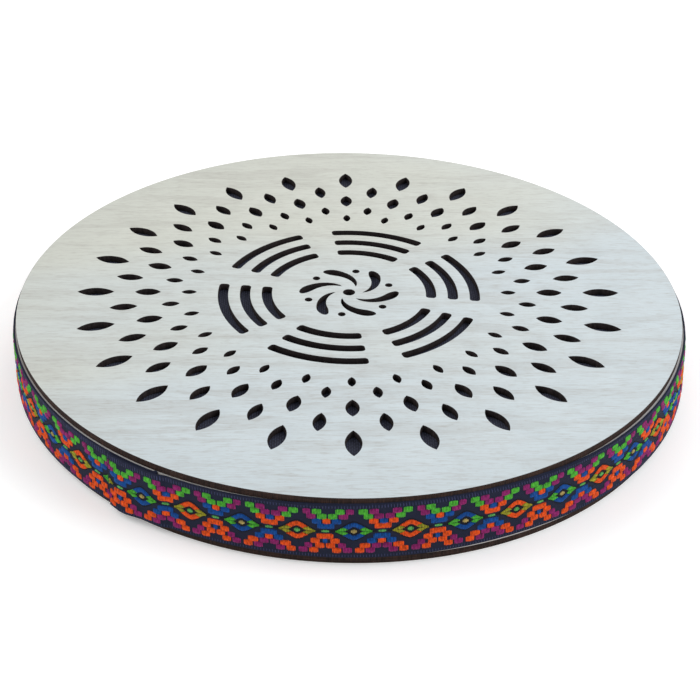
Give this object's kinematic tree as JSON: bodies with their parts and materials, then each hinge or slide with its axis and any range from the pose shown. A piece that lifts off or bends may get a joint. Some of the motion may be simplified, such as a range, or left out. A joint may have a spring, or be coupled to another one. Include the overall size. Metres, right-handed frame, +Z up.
{
  "type": "frame drum",
  "caption": "Shallow round frame drum with a pierced plywood face lined with dark cloth, a ribbon round its hoop and loose steel beads that roll inside.",
  "frame": {"origin": "middle of the underside of the bottom plate, on the drum's axis", "axes": "+Z up through the pierced face, along the drum's axis; -Y towards the viewer; +X to the right"},
  "size_m": [0.4052, 0.4052, 0.042],
  "materials": {
    "pale_plywood": "unvarnished pale plywood, fine sanded, with laser-charred cut edges",
    "base_plywood": "unvarnished pale plywood with a laser-charred rim",
    "bent_plywood": "bent pale plywood, sanded",
    "woven_ribbon": "jacquard-woven ribbon, navy ground with coloured geometric figures",
    "navy_cloth": "dark navy plain-weave cloth",
    "bead_steel": "polished steel shot"
  },
  "bodies": {
    "drum": {"bottom_plate": "base_plywood", "hoop": "bent_plywood", "trim_ribbon": "woven_ribbon", "lining_cloth": "navy_cloth", "top_plate": "pale_plywood"},
    "bead_01": {"bead_01": "bead_steel"},
    "bead_02": {"bead_02": "bead_steel"},
    "bead_03": {"bead_03": "bead_steel"},
    "bead_04": {"bead_04": "bead_steel"},
    "bead_05": {"bead_05": "bead_steel"},
    "bead_06": {"bead_06": "bead_steel"},
    "bead_07": {"bead_07": "bead_steel"},
    "bead_08": {"bead_08": "bead_steel"},
    "bead_09": {"bead_09": "bead_steel"},
    "bead_10": {"bead_10": "bead_steel"},
    "bead_11": {"bead_11": "bead_steel"},
    "bead_12": {"bead_12": "bead_steel"},
    "bead_13": {"bead_13": "bead_steel"},
    "bead_14": {"bead_14": "bead_steel"},
    "bead_15": {"bead_15": "bead_steel"},
    "bead_16": {"bead_16": "bead_steel"},
    "bead_17": {"bead_17": "bead_steel"},
    "bead_18": {"bead_18": "bead_steel"},
    "bead_19": {"bead_19": "bead_steel"},
    "bead_20": {"bead_20": "bead_steel"},
    "bead_21": {"bead_21": "bead_steel"},
    "bead_22": {"bead_22": "bead_steel"},
    "bead_23": {"bead_23": "bead_steel"},
    "bead_24": {"bead_24": "bead_steel"},
    "bead_25": {"bead_25": "bead_steel"},
    "bead_26": {"bead_26": "bead_steel"},
    "bead_27": {"bead_27": "bead_steel"},
    "bead_28": {"bead_28": "bead_steel"},
    "bead_29": {"bead_29": "bead_steel"},
    "bead_30": {"bead_30": "bead_steel"}
  },
  "joints": [
    {"name": "bead_01_roll", "type": "slide", "parent": "drum", "child": "bead_01", "axis": [1, 0, 0], "range_m": [-0.1203, 0.0797]},
    {"name": "bead_02_roll", "type": "slide", "parent": "drum", "child": "bead_02", "axis": [1, 0, 0], "range_m": [-0.06383, 0.16983]},
    {"name": "bead_03_roll", "type": "slide", "parent": "drum", "child": "bead_03", "axis": [1, 0, 0], "range_m": [-0.21003, 0.05103]},
    {"name": "bead_04_roll", "type": "slide", "parent": "drum", "child": "bead_04", "axis": [1, 0, 0], "range_m": [-0.13521, 0.14881]},
    {"name": "bead_05_roll", "type": "slide", "parent": "drum", "child": "bead_05", "axis": [1, 0, 0], "range_m": [-0.04477, 0.25877]},
    {"name": "bead_06_roll", "type": "slide", "parent": "drum", "child": "bead_06", "axis": [1, 0, 0], "range_m": [-0.21743, 0.10283]},
    {"name": "bead_07_roll", "type": "slide", "parent": "drum", "child": "bead_07", "axis": [1, 0, 0], "range_m": [-0.11729, 0.21729]},
    {"name": "bead_08_roll", "type": "slide", "parent": "drum", "child": "bead_08", "axis": [1, 0, 0], "range_m": [-0.30591, 0.04091]},
    {"name": "bead_09_roll", "type": "slide", "parent": "drum", "child": "bead_09", "axis": [1, 0, 0], "range_m": [-0.1977, 0.1595]},
    {"name": "bead_10_roll", "type": "slide", "parent": "drum", "child": "bead_10", "axis": [1, 0, 0], "range_m": [-0.08232, 0.28352]},
    {"name": "bead_11_roll", "type": "slide", "parent": "drum", "child": "bead_11", "axis": [1, 0, 0], "range_m": [-0.28215, 0.09075]},
    {"name": "bead_12_roll", "type": "slide", "parent": "drum", "child": "bead_12", "axis": [1, 0, 0], "range_m": [-0.16203, 0.21643]},
    {"name": "bead_13_roll", "type": "slide", "parent": "drum", "child": "bead_13", "axis": [1, 0, 0], "range_m": [-0.03808, 0.34448]},
    {"name": "bead_14_roll", "type": "slide", "parent": "drum", "child": "bead_14", "axis": [1, 0, 0], "range_m": [-0.24314, 0.14214]},
    {"name": "bead_15_roll", "type": "slide", "parent": "drum", "child": "bead_15", "axis": [1, 0, 0], "range_m": [-0.11702, 0.26962]},
    {"name": "bead_16_roll", "type": "slide", "parent": "drum", "child": "bead_16", "axis": [1, 0, 0], "range_m": [-0.32252, 0.06412]},
    {"name": "bead_17_roll", "type": "slide", "parent": "drum", "child": "bead_17", "axis": [1, 0, 0], "range_m": [-0.19484, 0.19044]},
    {"name": "bead_18_roll", "type": "slide", "parent": "drum", "child": "bead_18", "axis": [1, 0, 0], "range_m": [-0.06778, 0.31478]},
    {"name": "bead_19_roll", "type": "slide", "parent": "drum", "child": "bead_19", "axis": [1, 0, 0], "range_m": [-0.26823, 0.11023]},
    {"name": "bead_20_roll", "type": "slide", "parent": "drum", "child": "bead_20", "axis": [1, 0, 0], "range_m": [-0.14175, 0.23115]},
    {"name": "bead_21_roll", "type": "slide", "parent": "drum", "child": "bead_21", "axis": [1, 0, 0], "range_m": [-0.33352, 0.03232]},
    {"name": "bead_22_roll", "type": "slide", "parent": "drum", "child": "bead_22", "axis": [1, 0, 0], "range_m": [-0.2083, 0.1489]},
    {"name": "bead_23_roll", "type": "slide", "parent": "drum", "child": "bead_23", "axis": [1, 0, 0], "range_m": [-0.08831, 0.25851]},
    {"name": "bead_24_roll", "type": "slide", "parent": "drum", "child": "bead_24", "axis": [1, 0, 0], "range_m": [-0.26309, 0.07149]},
    {"name": "bead_25_roll", "type": "slide", "parent": "drum", "child": "bead_25", "axis": [1, 0, 0], "range_m": [-0.14663, 0.17363]},
    {"name": "bead_26_roll", "type": "slide", "parent": "drum", "child": "bead_26", "axis": [1, 0, 0], "range_m": [-0.03927, 0.26427]},
    {"name": "bead_27_roll", "type": "slide", "parent": "drum", "child": "bead_27", "axis": [1, 0, 0], "range_m": [-0.18771, 0.09631]},
    {"name": "bead_28_roll", "type": "slide", "parent": "drum", "child": "bead_28", "axis": [1, 0, 0], "range_m": [-0.08673, 0.17433]},
    {"name": "bead_29_roll", "type": "slide", "parent": "drum", "child": "bead_29", "axis": [1, 0, 0], "range_m": [-0.20183, 0.03183]},
    {"name": "bead_30_roll", "type": "slide", "parent": "drum", "child": "bead_30", "axis": [1, 0, 0], "range_m": [-0.1071, 0.0929]}
  ]
}
